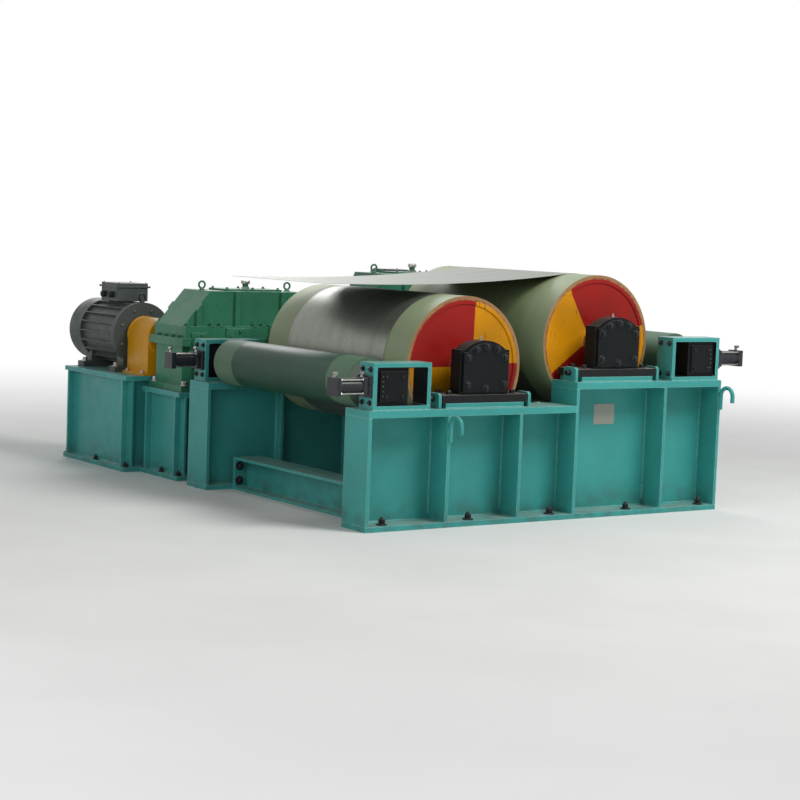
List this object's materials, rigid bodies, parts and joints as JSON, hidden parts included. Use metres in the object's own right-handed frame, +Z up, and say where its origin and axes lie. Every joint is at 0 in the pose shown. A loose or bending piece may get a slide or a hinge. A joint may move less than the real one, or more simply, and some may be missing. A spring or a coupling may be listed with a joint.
{
  "type": "tension bridle machine",
  "caption": "Tension bridle for steel strip: rubber covered drums on a stepped welded base, pivot bearings, air pressed snubber rolls, and a gear reducer and motor per drum.",
  "frame": {"origin": "on the floor, under the middle of the strip, halfway between the two drums (underside of the middle cross tie)", "axes": "+X along the strip's running direction, low drum towards high drum; +Y from the operator's side to the drive side, parallel to the drums' axes; +Z up"},
  "size_m": [2.9728, 3.866, 1.4119],
  "materials": {
    "machine_teal": "satin machine enamel",
    "reducer_green": "satin machine enamel",
    "motor_grey": "satin machine enamel",
    "bearing_black": "satin paint",
    "disc_red": "gloss paint in quadrants",
    "roll_rubber": "ground rubber",
    "shell_steel": "turned",
    "shaft_steel": "ground",
    "screw_steel": "zinc plated",
    "cylinder_black": "satin paint",
    "coupling_grey": "satin machine enamel",
    "guard_yellow": "gloss paint",
    "strip_zinc": "galvanised, skin passed"
  },
  "bodies": {
    "frame": {"frame_webs": "machine_teal", "frame_flanges": "machine_teal", "frame_stiffeners": "machine_teal", "lifting_hooks": "machine_teal", "cross_ties": "machine_teal", "bearing_pads": "machine_teal", "bearing_soles": "bearing_black", "keeper_plates": "machine_teal", "keeper_screws": "screw_steel", "bearing_housings": "bearing_black", "bearing_covers": "bearing_black", "reducer_bases": "reducer_green", "reducer_tops": "reducer_green", "reducer_caps": "reducer_green", "reducer_lids": "reducer_green", "motors": "motor_grey", "terminal_boxes": "motor_grey", "coupling_guards": "guard_yellow", "reducer_stand_plates": "machine_teal", "reducer_stand_walls": "machine_teal", "motor_stand_plates": "machine_teal", "motor_stand_walls": "machine_teal", "snubber_rails": "machine_teal", "snubber_posts": "machine_teal", "air_cylinders": "cylinder_black", "steel_strip": "strip_zinc"},
    "drum_1": {"drum_1_cover": "roll_rubber", "drum_1_shell": "shell_steel", "drum_1_end_discs": "disc_red", "drum_1_shaft": "shaft_steel", "drum_1_coupling": "coupling_grey"},
    "drum_2": {"drum_2_cover": "roll_rubber", "drum_2_shell": "shell_steel", "drum_2_end_discs": "disc_red", "drum_2_shaft": "shaft_steel", "drum_2_coupling": "coupling_grey"},
    "left_snubber_slide": {"left_snubber_chocks": "bearing_black", "left_snubber_rods": "shaft_steel"},
    "left_snubber_roll": {"left_snubber_sleeve": "roll_rubber", "left_snubber_tube": "shell_steel", "left_snubber_shaft": "shaft_steel"},
    "right_snubber_slide": {"right_snubber_chocks": "bearing_black", "right_snubber_rods": "shaft_steel"},
    "right_snubber_roll": {"right_snubber_sleeve": "roll_rubber", "right_snubber_tube": "shell_steel", "right_snubber_shaft": "shaft_steel"}
  },
  "joints": [
    {"name": "drum_1_spin", "type": "hinge", "parent": "frame", "child": "drum_1", "pos_m": [-0.485, 0, 0.875], "axis": [0, 1, 0], "continuous": true},
    {"name": "drum_2_spin", "type": "hinge", "parent": "frame", "child": "drum_2", "pos_m": [0.485, 0, 1.01], "axis": [0, 1, 0], "continuous": true},
    {"name": "left_snubber_press", "type": "slide", "parent": "frame", "child": "left_snubber_slide", "axis": [1, 0, 0], "range_m": [0, 0.11136]},
    {"name": "left_snubber_spin", "type": "hinge", "parent": "left_snubber_slide", "child": "left_snubber_roll", "pos_m": [-1.132, 0, 0.789], "axis": [0, 1, 0], "continuous": true},
    {"name": "right_snubber_press", "type": "slide", "parent": "frame", "child": "right_snubber_slide", "axis": [-1, 0, 0], "range_m": [0, 0.11136]},
    {"name": "right_snubber_spin", "type": "hinge", "parent": "right_snubber_slide", "child": "right_snubber_roll", "pos_m": [1.132, 0, 0.924], "axis": [0, 1, 0], "continuous": true}
  ]
}
